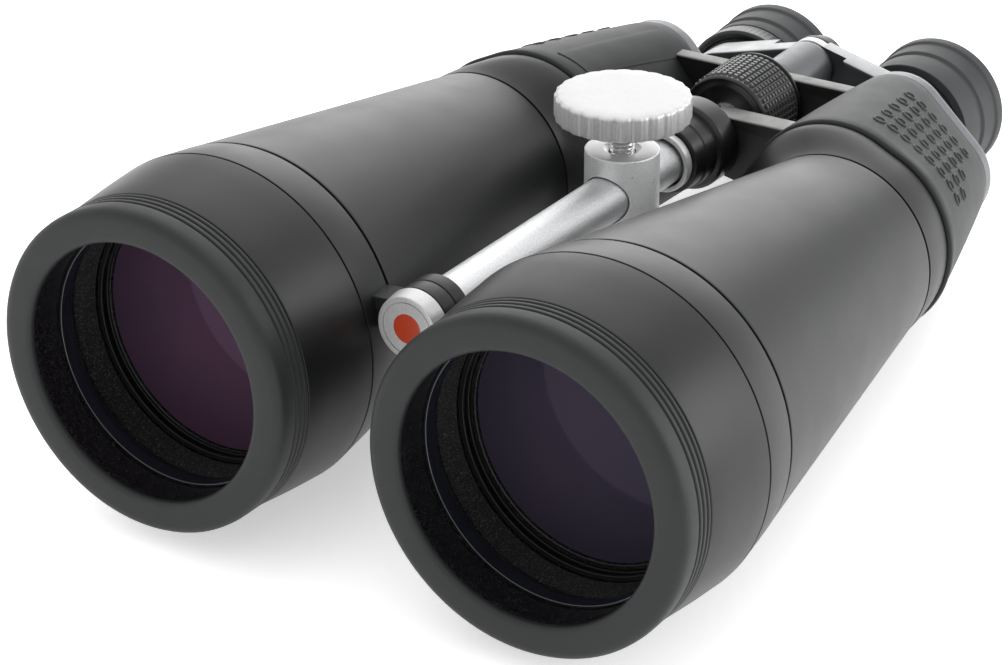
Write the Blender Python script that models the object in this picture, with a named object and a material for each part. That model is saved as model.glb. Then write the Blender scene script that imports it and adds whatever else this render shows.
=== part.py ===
"""Large Porro-prism astronomy binoculars with a sliding tripod post on a central rod.

Design lengths are millimetres. In the design frame X = 0 is the fold plane, Y runs from the
objective face back to the eyecups, and Z = 0 is the plane of the two barrel axes. Every piece is
built in metres, shifted so that the origin is the bottom centre of the whole instrument.
"left" is the user's left hand side (+X).
"""
import math

import bmesh
import bpy
from mathutils import Vector

MM = 0.001

# ---- driving dimensions, millimetres ---------------------------------------------------------
LENGTH = 330.0
BARREL_X = 65.2
HINGE_Z = 14.6
EYE_X = 32.2
EYE_Z = -5.7
GAP = 0.3

# Objective end: stations along Y and radii about the barrel axis.
RING_END = 13.6
HOOD_END = 41.8
BAND_END = 58.0
CONE_END = 183.0
FACE_R = 48.6
OPENING_R = 40.2
RING_R = 50.7
HOOD_R = 53.3
BAND_R = 51.2
CONE_END_R = 33.0
BARREL_WALL = 2.8
LENS_R = 40.3
CELL_R = 45.3
CELL_Y = (36.4, 55.0)
HOOD_BORE_R = 42.6

# Prism box: the cross-section is the hull of three circles (x, z, radius) at three stations.
ARMOUR_FRONT = 200.0
ARMOUR_REAR = 265.0
COVER_REAR = 271.5
NECK_CIRCLES = [(BARREL_X, 0.0, CONE_END_R)] * 3
FRONT_CIRCLES = [(64.0, 0.0, 33.3), (57.0, 4.5, 32.3), (34.0, -5.0, 18.0)]
REAR_CIRCLES = [(62.5, -3.0, 17.5), (46.5, 12.0, 17.5), (32.0, -6.0, 17.5)]
ARMOUR_T = 2.3
HOUSING_T = 2.6
PRISM_HALF = 17.0
PRISM_HALF_WIDTH = 9.0
SHELF_Y = (232.6, 236.6)
MID_AXIS = (45.8, 13.7)

# Central column on the fold axis.
ROD_R = 7.6
ROD_FRONT = 48.1
ROD_END = 196.6
CAP_R = 10.7
CAP_T = 5.8
KNUCKLE_R = 10.5
KNUCKLE_Y = (48.1, 54.2, 59.8)
COLLAR_Y = (187.5, 190.6)
SLEEVE_Y = (191.0, 203.0, 212.6)
AXLE_R = 6.2
AXLE_BORE_R = 3.6
FRONT_LUG_Y = (213.0, 217.5, 222.0)
REAR_LUG_Y = (254.1, 257.1, 260.0)
WHEEL_Y = (229.6, 253.6)
WHEEL_R = 16.6
SHAFT_R = 3.2
HUB_FRONT = 264.4
RIGHT_ARM_Y = (283.0, 296.0)
LEFT_ARM_Y = (288.0, 297.0)
HUB_SPLIT_Y = 290.8
SHAFT_CAP_END = 302.0
HUB_R = 9.2
HUB_ROOM_R = 15.0

# Tripod post and clamp, standing on the rod.
POST_Y = 163.0
POST_R = 11.9
POST_Z = (0.0, 28.5)
STUD_R = 4.0
KNOB_R = 21.6
KNOB_Z = (38.6, 46.8)
SOCKET_R = 3.2
SOCKET_DEPTH = 5.4

# Eyepieces, radii about each eyepiece axis.
TUBE_R = 11.4
TUBE_BORE_R = 9.3
TUBE_FRONT = 262.0
HEAD_R = 19.5
HEAD_REAR = 318.0
EYECUP_FRONT = {"left": 303.2, "right": 309.3}
LIP_FRONT = 321.3
DIOPTER_FRONT = 302.0
EYE_LENS_R = 11.1

# Facets round a turned piece, by size.
LARGE = 28
MEDIUM = 18
SMALL = 14

FINISHES = {
    "ring_rubber": ((0.050, 0.052, 0.053), 0.60, 0.0),
    "soft_coat": ((0.040, 0.041, 0.042), 0.45, 0.0),
    "black_metal": ((0.020, 0.020, 0.021), 0.40, 0.6),
    "armour_rubber": ((0.075, 0.080, 0.082), 0.62, 0.0),
    "grey_metal": ((0.42, 0.42, 0.43), 0.38, 0.9),
    "satin_metal": ((0.62, 0.62, 0.63), 0.32, 1.0),
    "bright_metal": ((0.80, 0.80, 0.80), 0.18, 1.0),
    "coated_glass": ((0.08, 0.03, 0.12), 0.05, 0.0),
    "clear_glass": ((0.75, 0.80, 0.80), 0.05, 0.0),
    "nylon": ((0.80, 0.79, 0.74), 0.50, 0.0),
}


def clear_scene():
    for thing in list(bpy.data.objects):
        bpy.data.objects.remove(thing, do_unlink=True)


def point(x, y, z):
    """A design-frame position in millimetres, as a scene position in metres."""
    return Vector((x, y - LENGTH / 2, z + HOOD_R)) * MM


# ---- bodies: one empty on each joint's axis --------------------------------------------------
BODY_POINTS = {
    "left_half": (0.0, 0.0, HINGE_Z),
    "right_half": (0.0, 0.0, HINGE_Z),
    "rod": (0.0, ROD_FRONT, HINGE_Z),
    "post": (0.0, POST_Y, HINGE_Z),
    "clamp_tip": (0.0, POST_Y, POST_Z[1]),
    "clamp": (0.0, POST_Y, KNOB_Z[0]),
    "focus": (0.0, WHEEL_Y[0], HINGE_Z),
    "left_carrier": (EYE_X, TUBE_FRONT, EYE_Z),
    "right_carrier": (-EYE_X, TUBE_FRONT, EYE_Z),
    "diopter_slide": (-EYE_X, DIOPTER_FRONT, EYE_Z),
    "diopter": (-EYE_X, DIOPTER_FRONT, EYE_Z),
}
empties = {}


def make_bodies():
    for name, place in BODY_POINTS.items():
        empty = bpy.data.objects.new("axis_" + name, None)
        empty.location = point(*place)
        bpy.context.scene.collection.objects.link(empty)
        empties[name] = empty


def finish_material(name, finish):
    colour, roughness, metallic = FINISHES[finish]
    material = bpy.data.materials.new(name)
    material.use_nodes = True
    shader = material.node_tree.nodes["Principled BSDF"]
    shader.inputs["Base Color"].default_value = (*colour, 1.0)
    shader.inputs["Roughness"].default_value = roughness
    shader.inputs["Metallic"].default_value = metallic
    return material


def bridge(bm, first, second, twisted):
    """Faces between two rings of vertices; a ring of one vertex is a pole.

    Twisted quads are split along the same diagonal, front i to rear i + 1, in every loft, so that
    one loft nests inside another with an even gap.
    """
    count = max(len(first), len(second))
    forward = first[0].co.y <= second[0].co.y
    for i in range(count):
        j = (i + 1) % count
        a, b = first[i % len(first)], first[j % len(first)]
        c, d = second[j % len(second)], second[i % len(second)]
        if not twisted:
            bm.faces.new(list(dict.fromkeys([a, b, c, d])))
        elif forward:
            bm.faces.new([a, b, c])
            bm.faces.new([a, c, d])
        else:
            bm.faces.new([a, b, d])
            bm.faces.new([b, c, d])


def skin(name, body, finish, loops, closed=False, twisted=False):
    """A solid through a row of loops: capped at both ends, or closed on itself like a tube."""
    origin = point(*BODY_POINTS[body]) if body else Vector((0.0, 0.0, 0.0))
    bm = bmesh.new()
    rings = [[bm.verts.new(place - origin) for place in loop] for loop in loops]
    for first, second in zip(rings, rings[1:]):
        bridge(bm, first, second, twisted)
    if closed:
        bridge(bm, rings[-1], rings[0], twisted)
    else:
        for ring in (rings[0], rings[-1]):
            if len(ring) > 2:
                bm.faces.new(ring)
    bmesh.ops.recalc_face_normals(bm, faces=bm.faces)
    mesh = bpy.data.meshes.new(name)
    bm.to_mesh(mesh)
    bm.free()
    mesh.shade_smooth()
    mesh.set_sharp_from_angle(angle=math.radians(35))
    thing = bpy.data.objects.new(name, mesh)
    bpy.context.scene.collection.objects.link(thing)
    if body:
        thing.parent = empties[body]
        mesh.materials.append(finish_material(name, finish))
    return thing


def ring_loop(x, y, z, radius, count):
    """A circle about an axis parallel to Y."""
    if radius == 0:
        return [point(x, y, z)]
    angles = [2 * math.pi * i / count for i in range(count)]
    return [point(x + radius * math.cos(a), y, z + radius * math.sin(a)) for a in angles]


def turned(name, body, finish, axis, profile, count):
    """A piece turned about an axis parallel to Y, from (y, radius) points.

    A profile that starts and ends on the axis is solid; any other is a closed ring.
    """
    x, z = axis
    loops = [ring_loop(x, y, z, radius, count) for y, radius in profile]
    return skin(name, body, finish, loops, closed=profile[0][1] > 0)


def upright(name, body, finish, y, profile, count):
    """A piece turned about the vertical axis at X = 0, from (z, radius) points."""
    loops = []
    for z, radius in profile:
        angles = [2 * math.pi * i / count for i in range(count)] if radius else [0.0]
        loops.append([point(radius * math.cos(a), y + radius * math.sin(a), z) for a in angles])
    return skin(name, body, finish, loops, closed=profile[0][1] > 0)


def hull_loop(circles, y, inset=0.0, side=1, count=LARGE):
    """The outline of the convex hull of circles (x, z, radius), drawn in by inset."""
    loop = []
    for i in range(count):
        angle = 2 * math.pi * i / count
        nx = math.cos(angle)
        nz = math.sin(angle)
        cx, cz, radius = max(circles, key=lambda c: c[0] * nx + c[1] * nz + c[2])
        reach = radius - inset
        loop.append(point(side * (cx + reach * nx), y, cz + reach * nz))
    return loop


def mixed(first, second, t):
    return [tuple(a + (b - a) * t for a, b in zip(p, q)) for p, q in zip(first, second)]


def box_circles(y):
    """Prism-box circles at a station between the armour's two ends."""
    t = (y - ARMOUR_FRONT) / (ARMOUR_REAR - ARMOUR_FRONT)
    return mixed(FRONT_CIRCLES, REAR_CIRCLES, t)


def link(name, body, finish, circles, y_range, side, count=LARGE):
    """A flat link whose outline is the hull of circles."""
    loops = [hull_loop(circles, y, 0.0, side, count) for y in y_range]
    return skin(name, body, finish, loops)


def tool(thing):
    """Marks a helper solid that only shapes other pieces."""
    thing.hide_render = True
    thing.display_type = "WIRE"
    return thing


def combine(thing, other, operation):
    modifier = thing.modifiers.new(operation.lower(), "BOOLEAN")
    modifier.operation = operation
    modifier.object = tool(other)


def bore(thing, axis, radius, y_range, count=SMALL):
    """A round hole parallel to Y, cut 1 mm past both ends of the range."""
    profile = [(y_range[0] - 1, 0), (y_range[0] - 1, radius)]
    profile += [(y_range[1] + 1, radius), (y_range[1] + 1, 0)]
    cutter = turned(thing.name + "_bore", None, None, axis, profile, count)
    combine(thing, cutter, "DIFFERENCE")


def knuckle_room(thing, radius, y_range):
    """Clears the other half's ring out of this half's hinge plate."""
    profile = [(y_range[0], 0), (y_range[0], radius), (y_range[1], radius), (y_range[1], 0)]
    cutter = turned(thing.name + "_room", None, None, (0.0, HINGE_Z), profile, MEDIUM)
    combine(thing, cutter, "DIFFERENCE")


# ---- one barrel, from the objective back to the prism box ------------------------------------
def objective_end(side_name, side, half):
    axis = (side * BARREL_X, 0.0)
    ring = [(0, OPENING_R + 0.8), (0, FACE_R), (1.2, RING_R - 0.7), (4, RING_R)]
    ring += [(RING_END, RING_R), (RING_END, OPENING_R), (0.8, OPENING_R)]
    turned(side_name + "_front_ring", half, "ring_rubber", axis, ring, LARGE)

    front = RING_END + GAP
    hood = [(front, RING_R), (HOOD_END, HOOD_R), (HOOD_END, HOOD_BORE_R), (front, HOOD_BORE_R)]
    turned(side_name + "_objective_hood", half, "soft_coat", axis, hood, LARGE)

    bore_r = LENS_R + GAP
    clear_r = LENS_R - 1.8
    flange = HOOD_END + GAP
    cell = [(CELL_Y[0], HOOD_BORE_R - 0.4), (flange, HOOD_BORE_R - 0.4), (flange, CELL_R)]
    cell += [(CELL_Y[1], CELL_R), (CELL_Y[1], clear_r), (CELL_Y[1] - 3, clear_r)]
    cell += [(CELL_Y[1] - 3, bore_r), (CELL_Y[0], bore_r)]
    turned(side_name + "_lens_cell", half, "black_metal", axis, cell, LARGE)
    front = CELL_Y[0] + 0.8
    edge = front + 4.7
    retainer = [(front, LENS_R), (edge - GAP, LENS_R), (edge - GAP, clear_r), (front, clear_r)]
    turned(side_name + "_lens_retainer", half, "black_metal", axis, retainer, LARGE)
    crown = [(edge - 4, 0), (edge - 3, LENS_R / 2), (edge, LENS_R), (edge + 2.4, LENS_R)]
    crown += [(edge + 5.4, LENS_R / 2), (edge + 6.4, 0)]
    turned(side_name + "_crown_lens", half, "coated_glass", axis, crown, LARGE)
    flint = [(edge + 6.8, 0), (edge + 5.8, LENS_R / 2), (edge + 2.8, LENS_R)]
    flint += [(edge + 9.6, LENS_R), (edge + 9.2, LENS_R / 2), (edge + 9, 0)]
    turned(side_name + "_flint_lens", half, "clear_glass", axis, flint, LARGE)

    front = BAND_END + GAP
    inner = CONE_END_R - BARREL_WALL
    cone = [(front, BAND_R - 0.2), (CONE_END, CONE_END_R), (CONE_END, inner)]
    cone += [(front, BAND_R - 0.2 - BARREL_WALL)]
    turned(side_name + "_barrel_cone", half, "soft_coat", axis, cone, LARGE)


def front_bracket(side_name, side, half):
    """The band round the barrel, with the arm and knuckle that hold the rod."""
    axis = (side * BARREL_X, 0.0)
    front = HOOD_END + GAP
    bore_r = CELL_R + GAP
    band = [(front, HOOD_R), (BAND_END, BAND_R), (BAND_END, bore_r), (front, bore_r)]
    bracket = turned(side_name + "_front_bracket", half, "soft_coat", axis, band, LARGE)

    arm_circles = [(0.0, HINGE_Z, 5.4), (17.0, 14.0, 4.5)]
    arm_y = (KNUCKLE_Y[0], BAND_END - 0.3)
    arm = link(bracket.name + "_arm", None, None, arm_circles, arm_y, side, MEDIUM)
    combine(bracket, arm, "UNION")
    own = (KNUCKLE_Y[0], KNUCKLE_Y[1] - GAP / 2)
    other = (KNUCKLE_Y[1] - GAP / 2, KNUCKLE_Y[2] + 1)
    if side > 0:
        own = (KNUCKLE_Y[1] + GAP / 2, KNUCKLE_Y[2])
        other = (KNUCKLE_Y[0] - 1, KNUCKLE_Y[1] + GAP / 2)
    knuckle = [(own[0], 0), (own[0], KNUCKLE_R), (own[1], KNUCKLE_R), (own[1], 0)]
    ring = turned(bracket.name + "_knuckle", None, None, (0.0, HINGE_Z), knuckle, MEDIUM)
    combine(bracket, ring, "UNION")
    knuckle_room(bracket, KNUCKLE_R + 0.4, other)
    bore(bracket, (0.0, HINGE_Z), ROD_R + GAP, (KNUCKLE_Y[0], KNUCKLE_Y[2]))


# ---- prism box -------------------------------------------------------------------------------
def prism_box(side_name, side, half):
    def loop(y, inset):
        return hull_loop(box_circles(y), y, inset, side)

    shoulder = ARMOUR_FRONT - GAP
    neck_y = CONE_END + GAP
    waist = mixed(NECK_CIRCLES, FRONT_CIRCLES, 0.45)
    core = ARMOUR_T + 2 * GAP
    inner = core + HOUSING_T
    rear = ARMOUR_REAR - GAP
    loops = [hull_loop(NECK_CIRCLES, neck_y, 0.0, side)]
    loops += [hull_loop(waist, (neck_y + shoulder) / 2, 0.0, side)]
    loops += [loop(shoulder, 0.0), loop(shoulder, core), loop(rear, core)]
    loops += [loop(rear, inner), loop(shoulder, inner)]
    loops += [hull_loop(NECK_CIRCLES, neck_y, BARREL_WALL, side)]
    skin(side_name + "_prism_housing", half, "black_metal", loops, True, True)

    loops = [loop(ARMOUR_FRONT, 0.0), loop(ARMOUR_REAR, 0.0)]
    loops += [loop(ARMOUR_REAR, ARMOUR_T), loop(ARMOUR_FRONT, ARMOUR_T)]
    skin(side_name + "_rubber_armour", half, "armour_rubber", loops, True, True)

    loops = [hull_loop(REAR_CIRCLES, ARMOUR_REAR + GAP, 0.8, side)]
    loops += [hull_loop(REAR_CIRCLES, COVER_REAR - 1.5, 0.8, side)]
    loops += [hull_loop(REAR_CIRCLES, COVER_REAR, 2.0, side)]
    cover = skin(side_name + "_rear_cover", half, "grey_metal", loops)
    eye_axis = (side * EYE_X, EYE_Z)
    bore(cover, eye_axis, TUBE_R + 0.4, (ARMOUR_REAR, COVER_REAR), MEDIUM)


def prism_block(name, half, side, start, end, face_y, depth):
    """A right-angle prism: its long face spans two optical axes, its roof edge points along Y."""
    centre = Vector(((start[0] + end[0]) / 2, (start[1] + end[1]) / 2))
    along = (Vector(end) - Vector(start)).normalized()
    across = Vector((-along.y, along.x)) * PRISM_HALF_WIDTH
    loops = []
    for edge in (across, -across):
        tips = [centre + edge + along * PRISM_HALF, centre + edge - along * PRISM_HALF]
        roof = centre + edge
        loop = [point(side * tip.x, face_y, tip.y) for tip in tips]
        loop.append(point(side * roof.x, face_y + depth, roof.y))
        loops.append(loop)
    skin(name, half, "clear_glass", loops)


def prisms(side_name, side, half):
    barrel = (BARREL_X, 0.0)
    eye = (EYE_X, EYE_Z)
    rear_face = SHELF_Y[1] + GAP
    front_face = SHELF_Y[0] - GAP
    prism_block(side_name + "_rear_prism", half, side, barrel, MID_AXIS, rear_face, PRISM_HALF)
    prism_block(side_name + "_front_prism", half, side, MID_AXIS, eye, front_face, -PRISM_HALF)
    inset = ARMOUR_T + HOUSING_T + 4 * GAP
    loops = [hull_loop(box_circles(y), y, inset, side, MEDIUM) for y in SHELF_Y]
    shelf = skin(side_name + "_prism_shelf", half, "black_metal", loops)
    for x, z in (barrel, MID_AXIS, eye):
        bore(shelf, (side * x, z), 7.5, SHELF_Y)


def hinge_plates(side_name, side, half):
    """Two plates that join the prism box to the hinge axle, trimmed to the box's outside."""
    trim_y = (ARMOUR_FRONT, ARMOUR_REAR)
    circles = [(0.0, HINGE_Z, 9.4), (45.0, 10.0, 14.0)]
    for label, stations in (("front", FRONT_LUG_Y), ("rear", REAR_LUG_Y)):
        name = side_name + "_" + label + "_lug"
        plate = link(name, half, "black_metal", circles, (stations[0], stations[2]), side, MEDIUM)
        loops = [hull_loop(box_circles(y), y, -GAP, side) for y in trim_y]
        combine(plate, skin(name + "_trim", None, None, loops, twisted=True), "DIFFERENCE")
        other = (stations[1] - GAP / 2, stations[2] + 1)
        if side < 0:
            other = (stations[0] - 1, stations[1] + GAP / 2)
        knuckle_room(plate, 10.2, other)
        bore(plate, (0.0, HINGE_Z), AXLE_R + GAP, (stations[0], stations[2]))


# ---- eyepieces -------------------------------------------------------------------------------
def eyepiece(side_name, side, carrier, head_body):
    axis = (side * EYE_X, EYE_Z)
    has_diopter = side < 0
    tube_rear = 298.0 if has_diopter else 302.9
    tube = [(TUBE_FRONT, TUBE_R), (tube_rear, TUBE_R)]
    tube += [(tube_rear, TUBE_BORE_R), (TUBE_FRONT, TUBE_BORE_R)]
    turned(side_name + "_eyepiece_tube", carrier, "black_metal", axis, tube, MEDIUM)
    lens_r = TUBE_BORE_R - GAP
    lens = [(266, 0), (267, lens_r), (269, lens_r), (270, 0)]
    turned(side_name + "_field_lens", carrier, "clear_glass", axis, lens, MEDIUM)

    head_bore = EYE_LENS_R + GAP
    if has_diopter:
        sleeve = [(284, 7.8), (284, lens_r), (300.2, lens_r), (300.2, 14), (306, 14), (306, 7.8)]
        turned("right_diopter_sleeve", "diopter_slide", "black_metal", axis, sleeve, MEDIUM)
        head = [(DIOPTER_FRONT + GAP, HEAD_R), (HEAD_REAR, HEAD_R), (HEAD_REAR, head_bore)]
        head += [(306 + GAP, head_bore), (306 + GAP, 14 + GAP), (DIOPTER_FRONT + GAP, 14 + GAP)]
        ring_r = HEAD_R + GAP
        ring_rear = EYECUP_FRONT["right"] - GAP
        ring = [(DIOPTER_FRONT, 21.8), (DIOPTER_FRONT + 0.6, 22.6), (ring_rear, 22.6)]
        ring += [(ring_rear, ring_r), (DIOPTER_FRONT, ring_r)]
        turned("right_diopter_ring", head_body, "black_metal", axis, ring, MEDIUM)
    else:
        front = EYECUP_FRONT["left"]
        head = [(front, HEAD_R), (HEAD_REAR, HEAD_R), (HEAD_REAR, head_bore), (front, head_bore)]
    turned(side_name + "_eyepiece_head", head_body, "black_metal", axis, head, MEDIUM)
    lens = [(311, 0), (313, EYE_LENS_R), (315, EYE_LENS_R), (316.5, 0)]
    turned(side_name + "_eye_lens", head_body, "coated_glass", axis, lens, MEDIUM)

    front = EYECUP_FRONT[side_name]
    cup_r = HEAD_R + GAP
    cup_rear = LIP_FRONT - GAP
    cup = [(front, 22.8), (314.5, 22.9), (315.5, 23.4), (cup_rear, 23.4), (cup_rear, 13.5)]
    cup += [(HEAD_REAR + GAP, 13.5), (HEAD_REAR + GAP, cup_r), (front, cup_r)]
    turned(side_name + "_eyecup", head_body, "ring_rubber", axis, cup, MEDIUM)
    lip = [(LIP_FRONT, 23.4), (325, 23.4), (326, 24.1), (LENGTH, 24.4)]
    lip += [(LENGTH, 22.2), (LIP_FRONT, 20.3)]
    turned(side_name + "_eyecup_lip", head_body, "ring_rubber", axis, lip, MEDIUM)


def bridge_arms():
    """The two arms that carry the eyepieces; the right one turns on the focus shaft."""
    circles = [(0.0, HINGE_Z, HUB_R), (EYE_X - 2, EYE_Z + 5, 16.0)]
    hub_axis = (0.0, HINGE_Z)
    left = link("left_bridge_arm", "left_carrier", "grey_metal", circles, LEFT_ARM_Y, 1)
    right = link("right_bridge_arm", "right_carrier", "grey_metal", circles, RIGHT_ARM_Y, -1)
    hub_rear = HUB_SPLIT_Y - GAP / 2
    hub = [(HUB_FRONT, 0), (HUB_FRONT, HUB_R - 0.7), (hub_rear, HUB_R), (hub_rear, 0)]
    combine(right, turned("right_bridge_arm_hub", None, None, hub_axis, hub, MEDIUM), "UNION")
    knuckle_room(right, HUB_ROOM_R, (hub_rear, RIGHT_ARM_Y[1] + 1))
    knuckle_room(left, HUB_ROOM_R, (LEFT_ARM_Y[0] - 1, HUB_SPLIT_Y + GAP / 2))
    for arm, side, span in ((left, 1, LEFT_ARM_Y), (right, -1, (HUB_FRONT, RIGHT_ARM_Y[1]))):
        bore(arm, hub_axis, SHAFT_R + GAP, span)
        bore(arm, (side * EYE_X, EYE_Z), TUBE_R + GAP, span, MEDIUM)


# ---- central column --------------------------------------------------------------------------
def central_column():
    axis = (0.0, HINGE_Z)
    cap_front = ROD_FRONT - GAP - CAP_T
    cap = [(cap_front, 0), (cap_front, CAP_R - 1.0), (cap_front + 0.6, CAP_R - 0.4)]
    cap += [(ROD_FRONT - GAP, CAP_R), (ROD_FRONT - GAP, 0)]
    turned("rod_end_cap", "rod", "bright_metal", axis, cap, MEDIUM)
    rod = [(ROD_FRONT, 0), (ROD_FRONT, ROD_R), (ROD_END, ROD_R), (ROD_END, 0)]
    turned("tripod_rod", "rod", "satin_metal", axis, rod, SMALL)
    bore_r = ROD_R + GAP
    collar = [(COLLAR_Y[0], 9.4), (COLLAR_Y[0] + 0.6, 10), (COLLAR_Y[1], 10)]
    collar += [(COLLAR_Y[1], bore_r), (COLLAR_Y[0], bore_r)]
    turned("rod_collar", "rod", "bright_metal", axis, collar, MEDIUM)

    axle_bore = AXLE_R + GAP
    sleeve = [(SLEEVE_Y[0], 12.4), (SLEEVE_Y[1], 12.4), (SLEEVE_Y[1], 14.7), (SLEEVE_Y[2], 14.7)]
    sleeve += [(SLEEVE_Y[2], axle_bore), (ROD_END + GAP, axle_bore), (ROD_END + GAP, bore_r)]
    sleeve += [(SLEEVE_Y[0], bore_r)]
    turned("hinge_sleeve", "left_half", "black_metal", axis, sleeve, MEDIUM)
    front = ROD_END + 2 * GAP
    axle = [(front, AXLE_R), (REAR_LUG_Y[2], AXLE_R), (REAR_LUG_Y[2], AXLE_BORE_R)]
    axle += [(front, AXLE_BORE_R)]
    turned("hinge_axle", "left_half", "satin_metal", axis, axle, SMALL)

    front, rear = WHEEL_Y
    core_r = WHEEL_R - 1.8
    wheel = [(front, WHEEL_R - 1.2), (front + 1.4, WHEEL_R - 0.6), (front + 1.4, core_r)]
    wheel += [(rear - 1.4, core_r), (rear - 1.4, WHEEL_R), (rear, WHEEL_R), (rear, axle_bore)]
    wheel += [(front + 4, axle_bore), (front + 4, 11.5), (front, 13)]
    turned("focus_wheel", "focus", "black_metal", axis, wheel, MEDIUM)
    grip_y = (front + 1.4 + GAP, rear - 1.4 - GAP)
    grip = [(grip_y[0], WHEEL_R - 0.4), (grip_y[1], WHEEL_R), (grip_y[1], core_r + GAP)]
    grip += [(grip_y[0], core_r + GAP)]
    turned("focus_grip", "focus", "armour_rubber", axis, grip, MEDIUM)

    shaft = [(236, 0), (236, SHAFT_R), (LEFT_ARM_Y[1], SHAFT_R), (LEFT_ARM_Y[1], 0)]
    turned("focus_shaft", "left_carrier", "satin_metal", axis, shaft, SMALL)
    front = LEFT_ARM_Y[1] + GAP
    cap = [(front, 0), (front, 8), (SHAFT_CAP_END - 1, 8), (SHAFT_CAP_END, 6.8)]
    cap += [(SHAFT_CAP_END, 0)]
    turned("focus_shaft_cap", "left_carrier", "black_metal", axis, cap, MEDIUM)


def tripod_post():
    post = [(POST_Z[0], 0), (POST_Z[0], POST_R - 1), (POST_Z[0] + 1, POST_R)]
    post += [(POST_Z[1] - 0.8, POST_R), (POST_Z[1], POST_R - 0.8), (POST_Z[1], 0)]
    block = upright("tripod_post", "post", "satin_metal", POST_Y, post, MEDIUM)
    bore(block, (0.0, HINGE_Z), ROD_R + GAP, (POST_Y - POST_R, POST_Y + POST_R))
    stud_bore = STUD_R + GAP
    well = [(HINGE_Z, 0), (HINGE_Z, stud_bore), (POST_Z[1] + 1, stud_bore), (POST_Z[1] + 1, 0)]
    socket = [(-1, 0), (-1, SOCKET_R), (SOCKET_DEPTH, SOCKET_R), (SOCKET_DEPTH, 0)]
    for label, profile in (("well", well), ("socket", socket)):
        cutter = upright("tripod_post_" + label, None, None, POST_Y, profile, SMALL)
        combine(block, cutter, "DIFFERENCE")

    tip_z = HINGE_Z + ROD_R + GAP
    pad = [(tip_z, 0), (tip_z, 3.4), (tip_z + 2.4, 3.4), (tip_z + 2.4, 0)]
    upright("clamp_pad", "clamp_tip", "nylon", POST_Y, pad, SMALL)
    stud_z = tip_z + 2.4 + GAP
    knob = [(stud_z, 0), (stud_z, STUD_R), (KNOB_Z[0], STUD_R), (KNOB_Z[0], KNOB_R - 1.2)]
    knob += [(KNOB_Z[0] + 1.2, KNOB_R), (KNOB_Z[1] - 1.2, KNOB_R)]
    knob += [(KNOB_Z[1], KNOB_R - 1.2), (KNOB_Z[1], 0)]
    upright("clamp_knob", "clamp", "bright_metal", POST_Y, knob, LARGE)


def build():
    clear_scene()
    make_bodies()
    for side_name, side in (("left", 1), ("right", -1)):
        half = side_name + "_half"
        objective_end(side_name, side, half)
        front_bracket(side_name, side, half)
        prism_box(side_name, side, half)
        prisms(side_name, side, half)
        hinge_plates(side_name, side, half)
    eyepiece("left", 1, "left_carrier", "left_carrier")
    eyepiece("right", -1, "right_carrier", "diopter")
    bridge_arms()
    central_column()
    tripod_post()
    bpy.context.view_layer.update()


build()
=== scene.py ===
"""Looks for the astronomy binoculars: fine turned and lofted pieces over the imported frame.

Lengths in the builders are millimetres in the frame's own axes; meshes are made in metres.
The user's left barrel is on +X, the objectives face -Y.
"""
import math

import bmesh
import bpy
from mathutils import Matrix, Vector


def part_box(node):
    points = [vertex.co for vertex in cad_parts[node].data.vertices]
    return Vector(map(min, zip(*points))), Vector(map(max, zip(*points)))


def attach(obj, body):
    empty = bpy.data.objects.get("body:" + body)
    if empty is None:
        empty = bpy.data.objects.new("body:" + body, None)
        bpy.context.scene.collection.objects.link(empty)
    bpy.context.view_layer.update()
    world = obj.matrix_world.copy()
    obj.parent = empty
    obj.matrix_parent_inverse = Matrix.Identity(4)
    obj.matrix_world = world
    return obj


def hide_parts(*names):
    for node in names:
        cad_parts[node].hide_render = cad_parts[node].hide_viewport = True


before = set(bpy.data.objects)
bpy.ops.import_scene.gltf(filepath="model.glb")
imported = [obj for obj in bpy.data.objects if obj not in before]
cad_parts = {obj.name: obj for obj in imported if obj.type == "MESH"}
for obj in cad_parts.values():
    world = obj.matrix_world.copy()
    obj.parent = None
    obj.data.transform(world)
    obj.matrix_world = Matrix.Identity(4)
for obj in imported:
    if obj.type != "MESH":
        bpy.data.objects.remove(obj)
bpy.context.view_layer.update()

MM = 0.001
ROUND = 144
SIDES = (("left", 1), ("right", -1))


def span(node):
    """Lowest and highest corner of a CAD node, in millimetres."""
    low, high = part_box(node)
    return low / MM, high / MM


def axis_of(node):
    """Centre (x, z) of a turned CAD node, in millimetres."""
    low, high = span(node)
    return ((low.x + high.x) / 2, (low.z + high.z) / 2)


def radius_of(node):
    low, high = span(node)
    return (high.x - low.x) / 2


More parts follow.
